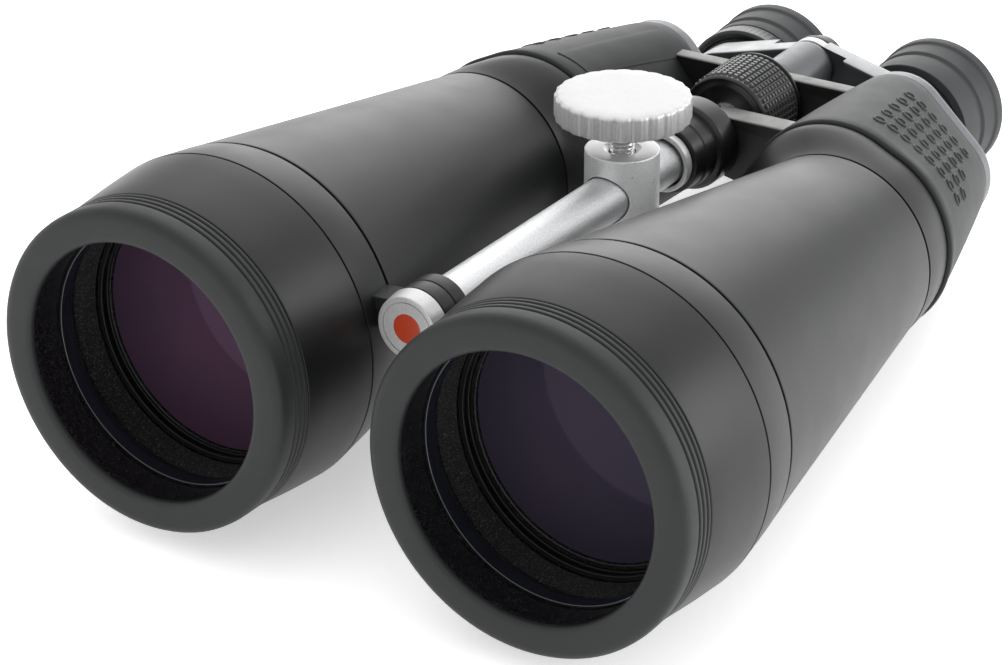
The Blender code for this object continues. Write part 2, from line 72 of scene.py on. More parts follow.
# ---- materials -------------------------------------------------------------------------------
class Look:
    """A Principled material whose maps come from noise measured in millimetres."""

    def __init__(self, name, roughness, metallic=0.0):
        self.material = bpy.data.materials.new(name)
        self.material.use_nodes = True
        self.nodes = self.material.node_tree.nodes
        self.links = self.material.node_tree.links
        self.shader = self.nodes["Principled BSDF"]
        self.shader.inputs["Metallic"].default_value = metallic
        self.shader.inputs["Roughness"].default_value = roughness
        coordinates = self.nodes.new("ShaderNodeTexCoord")
        scale = self.nodes.new("ShaderNodeMapping")
        scale.inputs["Scale"].default_value = (1 / MM, 1 / MM, 1 / MM)
        self.links.new(coordinates.outputs["Object"], scale.inputs["Vector"])
        self.place = scale.outputs["Vector"]
        self.height = None

    def noise(self, size, detail=3.0, roughness=0.55, stretch=None):
        """Noise with features about size millimetres across."""
        source = self.place
        if stretch:
            mapping = self.nodes.new("ShaderNodeMapping")
            mapping.inputs["Scale"].default_value = stretch
            self.links.new(source, mapping.inputs["Vector"])
            source = mapping.outputs["Vector"]
        texture = self.nodes.new("ShaderNodeTexNoise")
        texture.inputs["Scale"].default_value = 1 / size
        texture.inputs["Detail"].default_value = detail
        texture.inputs["Roughness"].default_value = roughness
        self.links.new(source, texture.inputs["Vector"])
        return texture.outputs["Fac"]

    def mapped(self, value, low, high, out_low, out_high):
        node = self.nodes.new("ShaderNodeMapRange")
        node.inputs["From Min"].default_value = low
        node.inputs["From Max"].default_value = high
        node.inputs["To Min"].default_value = out_low
        node.inputs["To Max"].default_value = out_high
        self.links.new(value, node.inputs["Value"])
        return node.outputs["Result"]

    def blend(self, factor, first, second):
        """A colour mixed from first to second, each a colour or a socket."""
        node = self.nodes.new("ShaderNodeMix")
        node.data_type = "RGBA"
        self.links.new(factor, node.inputs["Factor"])
        for socket, value in ((node.inputs["A"], first), (node.inputs["B"], second)):
            if isinstance(value, tuple):
                socket.default_value = (*value, 1.0)
            else:
                self.links.new(value, socket)
        return node.outputs["Result"]

    def colour(self, socket):
        self.links.new(socket, self.shader.inputs["Base Color"])

    def rough(self, socket):
        self.links.new(socket, self.shader.inputs["Roughness"])

    def bump(self, value, depth):
        """Adds a height of depth millimetres under the bumps already there."""
        node = self.nodes.new("ShaderNodeBump")
        node.inputs["Distance"].default_value = depth * MM
        self.links.new(value, node.inputs["Height"])
        if self.height:
            self.links.new(self.height, node.inputs["Normal"])
        self.height = node.outputs["Normal"]
        self.links.new(self.height, self.shader.inputs["Normal"])

    def edges(self, low=0.52, high=0.60):
        """0 on flats, 1 on sharp outside edges."""
        geometry = self.nodes.new("ShaderNodeNewGeometry")
        return self.mapped(geometry.outputs["Pointiness"], low, high, 0.0, 1.0)


def moulded(name, dark, light, roughness, grain, grain_depth, specular=0.5, patch=9.0):
    """Rubber or plastic: soft patches of tone, a fine moulded grain and rubbed edges."""
    look = Look(name, roughness)
    look.shader.inputs["Specular IOR Level"].default_value = specular
    patches = look.noise(patch, 4.0)
    tone = look.blend(look.mapped(patches, 0.35, 0.65, 0.0, 1.0), dark, light)
    fine = look.noise(grain, 2.0)
    rubbed = tuple(min(1.0, c * 1.5 + 0.01) for c in light)
    worn = look.mapped(look.edges(), 0.0, 1.0, 0.0, 0.45)
    look.colour(look.blend(worn, tone, rubbed))
    look.rough(look.mapped(look.noise(patch * 0.6, 3.0), 0.3, 0.7, roughness - 0.02, roughness + 0.03))
    look.bump(fine, grain_depth)
    return look.material


def metal(name, base, roughness, grain, grain_depth, stretch=None, metallic=1.0, spread=0.06):
    """Metal with a blasted or brushed grain; stretch lengthens the grain along one axis."""
    look = Look(name, roughness, metallic)
    fine = look.noise(grain, 3.0, 0.65, stretch)
    darker = tuple(c * 0.82 for c in base)
    lighter = tuple(min(1.0, c * 1.12) for c in base)
    look.colour(look.blend(look.mapped(fine, 0.3, 0.7, 0.0, 1.0), darker, lighter))
    look.rough(look.mapped(look.noise(6.0, 3.0), 0.3, 0.7, roughness - spread, roughness + spread))
    look.bump(fine, grain_depth)
    return look.material


def coated_lens(name, near, far, centre):
    """Multi-coated objective: deep plum, its tone drifting across the lens."""
    look = Look(name, 0.05)
    look.shader.inputs["IOR"].default_value = 1.5
    look.shader.inputs["Specular IOR Level"].default_value = 0.10
    look.shader.inputs["Specular Tint"].default_value = (0.62, 0.46, 0.80, 1.0)
    split = look.nodes.new("ShaderNodeSeparateXYZ")
    look.links.new(look.place, split.inputs["Vector"])
    radius = radius_of("left_crown_lens")
    across = look.mapped(split.outputs["X"], centre[0] - radius, centre[0] + radius, 0.0, 1.0)
    drift = look.blend(look.mapped(look.noise(34.0, 2.0), 0.3, 0.7, 0.0, 1.0), near, far)
    look.colour(look.blend(across, drift, near))
    look.rough(look.mapped(look.noise(20.0, 2.0), 0.3, 0.7, 0.03, 0.07))
    return look.material


def clear_lens(name):
    look = Look(name, 0.04)
    look.shader.inputs["IOR"].default_value = 1.55
    look.shader.inputs["Coat Weight"].default_value = 0.4
    tint = look.blend(look.noise(12.0, 2.0), (0.012, 0.020, 0.026), (0.020, 0.034, 0.040))
    look.colour(tint)
    return look.material


def black_with_painted_glints(name, specular):
    """Anti-glare black with painted glints: light specks in the colour stand in for highlights on fine
    ribbing.
    """
    look = Look(name, 0.30)
    look.shader.inputs["Specular IOR Level"].default_value = specular
    # Painted highlight: sparse light specks put into the base colour, standing in for glints on the ribs.
    painted_glints = look.mapped(look.noise(0.45, 1.0), 0.56, 0.66, 0.0, 1.0)
    look.colour(look.blend(painted_glints, (0.0025, 0.0025, 0.0030), (0.0420, 0.0430, 0.0450)))
    look.rough(look.mapped(look.noise(4.0, 2.0), 0.3, 0.7, 0.26, 0.38))
    look.bump(look.noise(0.45, 2.0), 0.16)
    return look.material


def enamel(name, base):
    look = Look(name, 0.28)
    look.shader.inputs["Coat Weight"].default_value = 0.3
    tone = tuple(c * 0.8 for c in base)
    look.colour(look.blend(look.noise(1.2, 2.0), tone, base))
    look.bump(look.noise(0.8, 2.0), 0.02)
    return look.material


def floor_material():
    look = Look("studio_floor", 0.60)
    look.colour(look.blend(look.noise(60.0, 2.0), (0.90, 0.90, 0.90), (0.93, 0.93, 0.93)))
    look.shader.inputs["Emission Color"].default_value = (1.0, 1.0, 1.0, 1.0)
    look.shader.inputs["Emission Strength"].default_value = 0.48
    return look.material


LOOKS = {
    # Anti-glare blacks whose light specks are painted glints.
    "inner_mesh": black_with_painted_glints("inner_mesh", specular=0.45),
    "inner_ribs": black_with_painted_glints("inner_ribs", specular=0.12),
    "clear_glass": clear_lens("clear_glass"),
    "enamel_red": enamel("enamel_red", (0.52, 0.050, 0.012)),
}

# name: darker tone, lighter tone, then roughness, grain size and depth in mm, specular, patch in mm
MOULDED = {
    "ring_rubber": ((0.0150, 0.0160, 0.0165), (0.0165, 0.0175, 0.0180), 0.50, 0.30, 0.025, 0.30),
    "soft_coat": ((0.0070, 0.0074, 0.0077), (0.0080, 0.0084, 0.0088), 0.38, 0.22, 0.010, 0.36, 30.0),
    "armour": ((0.0125, 0.0135, 0.0143), (0.0150, 0.0163, 0.0171), 0.48, 0.30, 0.045, 0.24, 16.0),
    "studs": ((0.024, 0.025, 0.026), (0.031, 0.032, 0.033), 0.30, 0.25, 0.010, 0.8),
    "eyecup": ((0.0260, 0.0275, 0.0290), (0.0300, 0.0315, 0.0330), 0.52, 0.30, 0.030, 0.35),
    "black_satin": ((0.006, 0.006, 0.0065), (0.008, 0.008, 0.0085), 0.33, 0.25, 0.010, 0.45),
    "black_gloss": ((0.006, 0.0075, 0.011), (0.009, 0.011, 0.016), 0.13, 0.40, 0.003, 0.80),
}

# name: base, then roughness, grain size and depth in mm, grain stretch, metallic, roughness spread
METALS = {
    # A lighter grey: painted light on the tops of the black hinge lugs.
    "lug_top": ((0.13, 0.13, 0.125), 0.40, 0.30, 0.020),
    "rod_silver": ((0.69, 0.70, 0.71), 0.38, 0.45, 0.220, None, 0.80),
    "post_silver": ((0.97, 0.98, 0.99), 0.33, 0.45, 0.180, None, 0.45),
    "faced_top": ((0.42, 0.42, 0.42), 0.36, 0.20, 0.002, None, 0.40, 0.02),
    "turned": ((0.60, 0.60, 0.60), 0.36, 0.20, 0.002, (1.0, 1.0, 0.12), 0.40, 0.02),
    "grey_casting": ((0.27, 0.275, 0.28), 0.34, 0.25, 0.020, None, 0.7),
    "hub_casting": ((0.125, 0.13, 0.135), 0.36, 0.25, 0.020, None, 0.6),
    # A darker copy of grey_casting: painted shade on the bridge arms' front, side and lower faces.
    "casting_face": ((0.045, 0.047, 0.050), 0.42, 0.25, 0.020, None, 0.5),
    "cover_edge": ((0.17, 0.175, 0.185), 0.40, 0.25, 0.030, (1.0, 0.15, 1.0), 0.5),
    "thread_steel": ((0.80, 0.80, 0.80), 0.22, 0.30, 0.006, None, 0.75),
}

for make, table in ((moulded, MOULDED), (metal, METALS)):
    for look_name, values in table.items():
        LOOKS[look_name] = make(look_name, *values)


# ---- mesh tools ------------------------------------------------------------------------------
def soften(profile, closed=True, steps=4):
    """Rounds each corner (s, r, fillet) of a profile with a short curve."""
    result = []
    count = len(profile)
    for i, corner in enumerate(profile):
        at = Vector(corner[:2])
        fillet = corner[2] if len(corner) > 2 else 0.0
        at_end = not closed and i in (0, count - 1)
        if fillet <= 0 or at_end:
            result.append((at.x, at.y))
            continue
        before = Vector(profile[i - 1][:2]) - at
        after = Vector(profile[(i + 1) % count][:2]) - at
        reach = min(fillet, before.length * 0.48, after.length * 0.48)
        start = at + before.normalized() * reach
        end = at + after.normalized() * reach
        for k in range(steps + 1):
            t = k / steps
            curve = start * (1 - t) ** 2 + at * 2 * t * (1 - t) + end * t ** 2
            result.append((curve.x, curve.y))
    return result


def even_angles(count):
    return [2 * math.pi * i / count for i in range(count)]


def to_object(name, bm, sharp=45):
    bmesh.ops.recalc_face_normals(bm, faces=bm.faces)
    mesh = bpy.data.meshes.new(name)
    bm.to_mesh(mesh)
    bm.free()
    mesh.shade_smooth()
    mesh.set_sharp_from_angle(angle=math.radians(sharp))
    thing = bpy.data.objects.new(name, mesh)
    bpy.context.scene.collection.objects.link(thing)
    return thing


def skinned(name, loops, closed, sharp=45):
    """A closed surface through loops of points in millimetres; a loop of one point is a pole."""
    bm = bmesh.new()
    rings = [[bm.verts.new(Vector(p) * MM) for p in loop] for loop in loops]
    pairs = list(zip(rings, rings[1:]))
    if closed:
        pairs.append((rings[-1], rings[0]))
    for first, second in pairs:
        count = max(len(first), len(second))
        for i in range(count):
            j = (i + 1) % count
            corners = [first[i % len(first)], first[j % len(first)]]
            corners += [second[j % len(second)], second[i % len(second)]]
            bm.faces.new(list(dict.fromkeys(corners)))
    if not closed:
        for ring in (rings[0], rings[-1]):
            if len(ring) > 2:
                bm.faces.new(ring)
    return to_object(name, bm, sharp)


def turned(name, centre, profile, angles=None, relief=None, upright=False, sharp=45):
    """Spins (s, r) points about an axis through centre: along Y, or along Z when upright."""
    angles = angles or even_angles(ROUND)
    loops = []
    for s, r in profile:
        loop = []
        for angle in angles if r > 0 else angles[:1]:
            reach = relief(s, r, angle) if relief and r > 0 else r
            a = reach * math.cos(angle)
            b = reach * math.sin(angle)
            if upright:
                loop.append((centre[0] + a, centre[1] + b, s))
            else:
                loop.append((centre[0] + a, s, centre[1] + b))
        loops.append(loop)
    return skinned(name, loops, closed=profile[0][1] > 0, sharp=sharp)


def hull_outline(circles, inset=0.0, side=1, count=ROUND):
    """Points (x, z) on the convex hull of circles (x, z, radius), drawn in by inset."""
    outline = []
    for angle in even_angles(count):
        nx = math.cos(angle)
        nz = math.sin(angle)
        cx, cz, radius = max(circles, key=lambda c: c[0] * nx + c[1] * nz + c[2])
        reach = radius - inset
        outline.append((side * (cx + reach * nx), cz + reach * nz))
    return outline


def plate(name, circles, y_range, side=1, edge=0.5, count=ROUND):
    """A flat link with softened edges, its outline the hull of circles."""
    front, rear = y_range
    section = [(front, -4), (front, 0, edge), (rear, 0, edge), (rear, -4)]
    profile = soften(section, closed=False)
    loops = []
    for y, rise in profile[1:-1]:
        loops.append([(x, y, z) for x, z in hull_outline(circles, -rise, side, count)])
    return skinned(name, loops, closed=False, sharp=50)


def carve(thing, cutter):
    """Cuts cutter out of thing for good, and removes the cutter."""
    modifier = thing.modifiers.new("carve", "BOOLEAN")
    modifier.operation = "DIFFERENCE"
    modifier.object = cutter
    depsgraph = bpy.context.evaluated_depsgraph_get()
    mesh = bpy.data.meshes.new_from_object(thing.evaluated_get(depsgraph))
    thing.modifiers.clear()
    thing.data = mesh
    mesh.shade_smooth()
    mesh.set_sharp_from_angle(angle=math.radians(40))
    bpy.data.objects.remove(cutter, do_unlink=True)


def drum(centre, radius, y_range):
    """A solid cylinder along Y, to cut with."""
    front, rear = y_range
    profile = [(front, 0), (front, radius), (rear, radius), (rear, 0)]
    return turned("cutter", centre, profile)


def piece(thing, body, slot, look, *nodes):
    """Finishes a piece: its look, the body it rides on and the CAD nodes it replaces; the slot argument is
    not used.
    """
    thing.data.materials.clear()
    thing.data.materials.append(LOOKS[look] if isinstance(look, str) else look)
    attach(thing, body)
    if nodes:
        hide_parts(*nodes)
    return thing


# ---- objective end ---------------------------------------------------------------------------
def front_ring(side_name, body):
    node = side_name + "_front_ring"
    low, high = span(node)
    axis = axis_of(node)
    outer = radius_of(node)
    rim_width = 10.5
    opening = outer - rim_width
    y = low.y
    profile = [(y, opening + 0.1, 2.0), (y, outer, 3.4)]
    groove_depth = 0.65
    for groove in (7.0, 9.2, 11.4):
        bottom = outer - groove_depth
        profile += [(y + groove, outer, 0.5), (y + groove + 0.25, bottom, 0.3)]
        profile += [(y + groove + 0.75, bottom, 0.3), (y + groove + 1.0, outer, 0.5)]
    profile += [(high.y, outer, 0.6), (high.y, opening + 1.4), (y + 4.6, opening + 1.4, 0.3)]
    profile += [(y + 4.2, opening + 0.1, 0.4)]
    ring = turned(node + "_rubber", axis, soften(profile))
    piece(ring, body, "ring_rubber", "ring_rubber", node)
    paint_inside(ring, axis, opening + 2.0, "inner_mesh", y + 2.4)


def objective_hood(side_name, body):
    node = side_name + "_objective_hood"
    low, high = span(node)
    axis = axis_of(node)
    outer = radius_of(node)
    front_r = radius_of(side_name + "_front_ring")
    bore = outer - 11.0
    profile = [(low.y, front_r, 0.5), ((low.y + high.y) / 2, (outer + front_r) / 2 + 0.25, 6.0)]
    profile += [(high.y - 0.3, outer, 0.2), (high.y - 0.15, outer - 0.9), (high.y, outer - 0.9)]
    profile += [(high.y, bore + 0.3), (high.y - 9.0, bore + 0.3)]
    rib_pitch = 0.9
    y = high.y - 9.5
    while y > low.y + 9.0:
        profile += [(y, bore - 0.35), (y - rib_pitch / 2, bore + 0.3)]
        y -= rib_pitch
    profile += [(low.y + 8.2, bore - 0.6), (low.y, bore - 0.6)]
    hood = turned(node + "_shell", axis, soften(profile))
    piece(hood, body, "soft_coat", "soft_coat", node)
    paint_inside(hood, axis, bore + 0.6, "inner_ribs")
    start = low.y + 1.0
    bead = [(start, bore - 0.9), (start, bore - 1.6, 0.8), (start + 3.4, bore - 2.2, 1.6)]
    bead += [(start + 6.4, bore - 1.0, 0.9), (start + 6.6, bore - 0.9)]
    ring = turned(node + "_baffle_bead", axis, soften(bead, steps=8))
    piece(ring, body, "black_metal", "black_gloss")
    lip_y = high.y - 8.0
    lip = [(lip_y, bore - 0.1), (lip_y, bore - 1.6, 0.25), (lip_y + 1.0, bore - 1.6, 0.25)]
    lip += [(lip_y + 1.0, bore - 0.1)]
    ring = turned(node + "_baffle_lip", axis, soften(lip))
    piece(ring, body, "black_metal", "black_satin")


def paint_inside(thing, axis, radius, look, behind=-1000.0):
    """Gives the faces nearer the axis than radius, and behind a station, a second material."""
    thing.data.materials.append(LOOKS[look])
    for face in thing.data.polygons:
        centre = face.center / MM
        if centre.y > behind and math.hypot(centre.x - axis[0], centre.z - axis[1]) < radius:
            face.material_index = 1


def paint_top(thing, look):
    """Gives the faces that look straight up a second material."""
    thing.data.materials.append(LOOKS[look])
    for face in thing.data.polygons:
        if face.normal.z > 0.95:
            face.material_index = 1


def lens_group(side_name, body):
    cell = side_name + "_lens_cell"
    low, high = span(cell)
    axis = axis_of(cell)
    outer = radius_of(side_name + "_crown_lens")
    clear = outer - (1.8 if side_name == "left" else 0.5)
    profile = [(low.y, outer + 1.9, 0.2), (low.y, outer + 0.2, 0.2), (high.y, outer + 0.2)]
    profile += [(high.y, outer + 1.9)]
    ring = turned(cell + "_front", axis, soften(profile))
    piece(ring, body, "black_metal", "black_satin", cell)
    node = side_name + "_lens_retainer"
    low, high = span(node)
    profile = [(low.y, outer + 0.1, 0.2), (low.y, clear + 0.4, 0.2)]
    profile += [(low.y + 0.5, clear + 0.1, 0.2), (high.y, clear), (high.y, outer + 0.1)]
    ring = turned(node + "_ring", axis, soften(profile))
    piece(ring, body, "black_metal", "inner_mesh", node)
    node = side_name + "_crown_lens"
    low, high = span(node)
    front_sag = 0.5
    rear_sag = 4.0
    steps = 14
    profile = []
    for i in range(steps + 1):
        t = i / steps
        profile.append((low.y + front_sag * t ** 2, outer * t))
    for i in range(steps + 1):
        t = 1 - i / steps
        profile.append((high.y - rear_sag * t ** 2, outer * t))
    lens = turned(node + "_glass", axis, profile)
    plum = ((0.066, 0.033, 0.060), (0.046, 0.030, 0.050))
    slate = ((0.036, 0.031, 0.050), (0.042, 0.032, 0.048))
    tones = slate if side_name == "left" else plum
    piece(lens, body, "coated_glass", coated_lens(node + "_coating", *tones, axis), node)


def front_bracket(side_name, side, body):
    node = side_name + "_front_bracket"
    low = span(node)[0]
    axis = axis_of(side_name + "_front_ring")
    outer = radius_of(side_name + "_objective_hood")
    hinge_x, hinge_z = axis_of("tripod_rod")
    band_end = span(side_name + "_barrel_cone")[0].y - 0.3
    rear_r = radius_of(side_name + "_barrel_cone") + 0.2
    wall = outer - 6.0
    profile = [(low.y, outer - 0.5), (low.y + 0.1, outer, 0.2), (band_end - 0.75, rear_r + 0.1, 0.3)]
    profile += [(band_end - 0.6, rear_r - 1.2), (band_end, rear_r - 1.2), (band_end, wall), (low.y, wall)]
    band = turned(node + "_band", axis, soften(profile))
    piece(band, body, "soft_coat", "soft_coat", node)

    rod = span("tripod_rod")[0].y
    middle = rod + 6.1
    play = 0.15
    end = max(span("left_front_bracket")[1].y, span("right_front_bracket")[1].y)
    own = (rod, middle - play) if side < 0 else (middle + play, end)
    other = (middle - play, end + 2) if side < 0 else (rod - 2, middle + play)
    circles = [(0.0, hinge_z, 5.4), (17.0, hinge_z - 0.6, 4.5)]
    arm = plate(node + "_arm", circles, (rod, band_end - 0.3), side, 0.6, 64)
    carve(arm, drum((hinge_x, hinge_z), 10.9, other))
    carve(arm, drum((hinge_x, hinge_z), 8.2, (rod - 2, end + 2)))
    piece(arm, body, "soft_coat", "soft_coat")
    knuckle_r = 10.5
    bore = 7.9
    profile = [(own[0], knuckle_r, 0.5), (own[1], knuckle_r, 0.5), (own[1], bore, 0.2)]
    profile += [(own[0], bore, 0.2)]
    knuckle = turned(node + "_knuckle", (hinge_x, hinge_z), soften(profile))
    piece(knuckle, body, "soft_coat", "soft_coat")


def barrel_cone(side_name, body):
    node = side_name + "_barrel_cone"
    low, high = span(node)
    axis = axis_of(node)
    outer = radius_of(node)
    narrow = radius_of_neck(side_name)
    wall = 2.8
    seam = 1.0
    profile = [(low.y, outer - seam), (low.y + 0.15, outer - seam), (low.y + 0.3, outer, 0.3)]
    start = low.y + 1.5
    end = high.y - 1.5
    steps = 12
    for i in range(steps + 1):
        y = start + (end - start) * i / steps
        share = (y - low.y - 0.3) / (high.y - low.y - 0.65)
        profile.append((y, outer + (narrow - outer) * share))
    profile += [(high.y - 0.35, narrow, 0.2), (high.y - 0.3, narrow - 0.7), (high.y, narrow - 0.7)]
    profile += [(high.y, narrow - wall), (low.y, outer - wall)]
    cone = turned(node + "_skin", axis, soften(profile))
    piece(cone, body, "soft_coat", "soft_coat", node)


def radius_of_neck(side_name):
    """Radius of the barrel cone's narrow end, from its rearmost vertices."""
    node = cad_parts[side_name + "_barrel_cone"]
    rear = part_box(node.name)[1].y
    points = [v.co for v in node.data.vertices if v.co.y > rear - 0.1 * MM]
    return (max(p.x for p in points) - min(p.x for p in points)) / 2 / MM


# ---- prism box -------------------------------------------------------------------------------
def box_sections(side_name):
    """Hull circles (x, z, radius) of the neck, the armour's front edge and its rear edge."""
    x, z = axis_of(side_name + "_front_ring")
    x = abs(x)
    eye_x, eye_z = axis_of(side_name + "_eyepiece_tube")
    eye_x = abs(eye_x)
    neck = [(x, z, radius_of_neck(side_name))] * 3
    front = [(x - 1.2, z, 33.3), (x - 8.2, z + 4.5, 32.3), (eye_x + 1.8, eye_z + 0.7, 18.0)]
    rear = [(x - 2.7, z - 3.0, 17.5), (x - 18.7, z + 12.0, 17.5), (eye_x - 0.2, eye_z - 0.3, 17.5)]
    return neck, front, rear


def mixed(first, second, t):
    return [tuple(a + (b - a) * t for a, b in zip(p, q)) for p, q in zip(first, second)]


def loft(name, stations, side, closed):
    """A hull loft through (y, circles, inset) stations."""
    loops = []
    for y, circles, inset in stations:
        loops.append([(px, y, pz) for px, pz in hull_outline(circles, inset, side)])
    return skinned(name, loops, closed, sharp=40)


def prism_box(side_name, side, body):
    neck, front, rear = box_sections(side_name)
    armour = side_name + "_rubber_armour"
    low, high = span(armour)
    housing = side_name + "_prism_housing"
    start = span(housing)[0].y
    seam = low.y - 0.3
    stations = [(start, neck, 0.7), (start + 0.15, neck, 0.7), (start + 0.3, neck, 0.0)]
    steps = 10
    for i in range(1, steps + 1):
        t = i / steps
        eased = t * t * (3 - 2 * t) * 0.6 + t * 0.4
        drop = 1.0 * t ** 3
        stations.append((start + 0.3 + (seam - 0.9 - start) * t, mixed(neck, front, eased), drop))
    stations += [(seam - 0.4, front, 2.2), (seam, front, 2.2), (seam, front, 6.0), (start, neck, 3.0)]
    shell = loft(housing + "_neck", stations, side, True)
    piece(shell, body, "black_metal", "soft_coat", housing)

    stations = []
    for drop, inset in ((0.0, 1.2), (0.12, 0.65), (0.5, 0.2), (1.2, 0.0)):
        stations.append((low.y + drop, front, inset))
    steps = 12
    for i in range(1, steps):
        t = i / steps
        crown = 0.35 * math.sin(math.pi * t)
        stations.append((low.y + (high.y - low.y) * t, mixed(front, rear, t), -crown))
    for drop, inset in ((0.9, 0.0), (0.25, 0.35), (0.0, 0.9)):
        stations.append((high.y - drop, rear, inset))
    stations += [(high.y, rear, 4.0), (low.y, front, 4.0)]
    rubber = loft(armour + "_skin", stations, side, True)
    piece(rubber, body, "armour_rubber", "armour", armour)
    grip_rings(armour, side, body, front, rear, low.y, high.y)
    if side < 0:
        blank_plate(armour, side, body, front, rear, low.y, high.y)

    cover = side_name + "_rear_cover"
    low, high = span(cover)
    stations = [(low.y, rear, 3.0), (low.y, rear, 0.9), (low.y + 0.3, rear, 0.6)]
    for i in range(7):
        angle = math.pi / 2 * i / 6
        stations.append((high.y - 3.2 + 3.2 * math.sin(angle), rear, 0.6 + 2.6 * (1 - math.cos(angle))))
    stations += [(high.y, rear, 4.6)]
    plate_piece = loft(cover + "_plate", stations, side, False)
    eye = axis_of(side_name + "_eyepiece_tube")
    carve(plate_piece, drum(eye, 11.9, (low.y - 2, high.y + 2)))
    piece(plate_piece, body, "grey_metal", "cover_edge", cover)


def grip_rings(armour, side, body, front, rear, y_start, y_end):
    """Rows of small moulded rings on the slanting outer side of the armour."""
    rows = 8
    full_rows = 6
    along = 5
    pitch_y = 8.4
    pitch_round = 5.1
    first_round = 9.0
    first_y = y_start + 15.0
    bm = bmesh.new()
    for row in range(rows):
        columns = along if row < full_rows else along + full_rows - 2 - row
        for column in range(columns):
            y = first_y + pitch_y * column + 0.6 * row
            distance = first_round + row * pitch_round
            place, normal = armour_point(front, rear, y_start, y_end, y, distance)
            ahead = armour_point(front, rear, y_start, y_end, y + 1.0, distance)[0]
            small_ring(bm, place, normal, (ahead - place).normalized(), side)
    rings = to_object(armour + "_grip_rings", bm)
    piece(rings, body, "armour_rubber", "armour")


def blank_plate(armour, side, body, front, rear, y_start, y_end):
    """A smooth raised panel let into the rubber, on the side towards the hinge."""
    y_margin = 7.0
    near = -5.0
    far = -19.0
    height = 0.45
    rows = 12
    columns = 10
    top = []
    base = []
    for row in range(rows + 1):
        y = y_start + y_margin + (y_end - 4.0 - y_start - y_margin) * row / rows
        for column in range(columns + 1):
            distance = near + (far - near) * column / columns
            place, normal = armour_point(front, rear, y_start, y_end, y, distance)
            at_edge = row in (0, rows) or column in (0, columns)
            top.append(place + normal * (height - (0.2 if at_edge else 0.0)))
            base.append(place - normal * 0.6)
    bm = bmesh.new()
    upper = [bm.verts.new(Vector((side * p.x, p.y, p.z)) * MM) for p in top]
    lower = [bm.verts.new(Vector((side * p.x, p.y, p.z)) * MM) for p in base]
    width = columns + 1
    for row in range(rows):
        for column in range(columns):
            a = row * width + column
            bm.faces.new([upper[a], upper[a + 1], upper[a + 1 + width], upper[a + width]])
            bm.faces.new([lower[a], lower[a + width], lower[a + 1 + width], lower[a + 1]])
    border = list(range(width))
    border += [row * width + columns for row in range(1, rows + 1)]
    border += [rows * width + column for column in range(columns - 1, -1, -1)]
    border += [row * width for row in range(rows - 1, 0, -1)]
    for first, second in zip(border, border[1:] + border[:1]):
        bm.faces.new([upper[first], lower[first], lower[second], upper[second]])
    piece(to_object(armour + "_blank_plate", bm), body, "black_metal", "armour")


def armour_point(front, rear, y_start, y_end, y, distance):
    """A point and its normal on the armour, distance round from the top towards the outside."""
    t = (y - y_start) / (y_end - y_start)
    outline = hull_outline(mixed(front, rear, t), -0.35 * math.sin(math.pi * t), 1, ROUND)
    step = -1 if distance >= 0 else 1
    left = abs(distance)
    i = max(range(len(outline)), key=lambda k: outline[k][1])
    while True:
        here = Vector(outline[i % ROUND])
        ahead = Vector(outline[(i + step) % ROUND])
        gap = (ahead - here).length
        if gap >= left and gap > 0:
            spot = here.lerp(ahead, left / gap)
            run = (ahead - here).normalized() * -step
            return Vector((spot.x, y, spot.y)), Vector((-run.y, 0.0, run.x))
        left -= gap
        i += step


def small_ring(bm, place, normal, along, side):
    """One moulded ring, a low torus lying on the surface."""
    major = 1.85
    half_width = 0.46
    height = 0.38
    across = normal.cross(along).normalized()
    normal = along.cross(across)
    turns = 20
    facets = 8
    grid = []
    for a in even_angles(turns):
        radial = along * math.cos(a) + across * math.sin(a)
        loop = []
        for b in even_angles(facets):
            spot = place + radial * (major + half_width * math.cos(b)) + normal * height * math.sin(b)
            loop.append(bm.verts.new(Vector((side * spot.x, spot.y, spot.z)) * MM))
        grid.append(loop)
    for i in range(turns):
        for j in range(facets):
            k = (j + 1) % facets
            bm.faces.new([grid[i][j], grid[i][k], grid[(i + 1) % turns][k], grid[(i + 1) % turns][j]])


def hinge_plates(side_name, side, body):
    """The two lugs of one half: each gives up half its thickness round the hinge to the other."""
    hinge_x, hinge_z = axis_of("hinge_axle")
    barrel_z = axis_of(side_name + "_front_ring")[1]
    for label in ("front", "rear"):
        node = side_name + "_" + label + "_lug"
        pair = [span(s + "_" + label + "_lug") for s, _ in SIDES]
        low_y = min(box[0].y for box in pair)
        high_y = max(box[1].y for box in pair)
        middle = (low_y + high_y) / 2
        eye_r = 9.4
        play = 0.15
        through = (low_y - 2, high_y + 2)
        circles = [(0.0, hinge_z, eye_r), (45.0, barrel_z + 10.0, 14.0)]
        lug = plate(node + "_plate", circles, (low_y, high_y), side, 0.7, 72)
        other = (middle - play, through[1]) if side > 0 else (through[0], middle + play)
        carve(lug, drum((hinge_x, hinge_z), eye_r + 0.8, other))
        carve(lug, drum((hinge_x, hinge_z), 6.5, through))
        if label == "rear":
            tube = side_name + "_eyepiece_tube"
            carve(lug, drum(axis_of(tube), radius_of(tube) + 0.5, through))
        piece(lug, body, "black_metal", "black_satin", node)
        # Painted light: the upward faces of the black lugs get a lighter grey metal.
        lug.data.materials.append(LOOKS["lug_top"])
        for face in lug.data.polygons:
            if face.normal.z > 0.5:
                face.material_index = 1


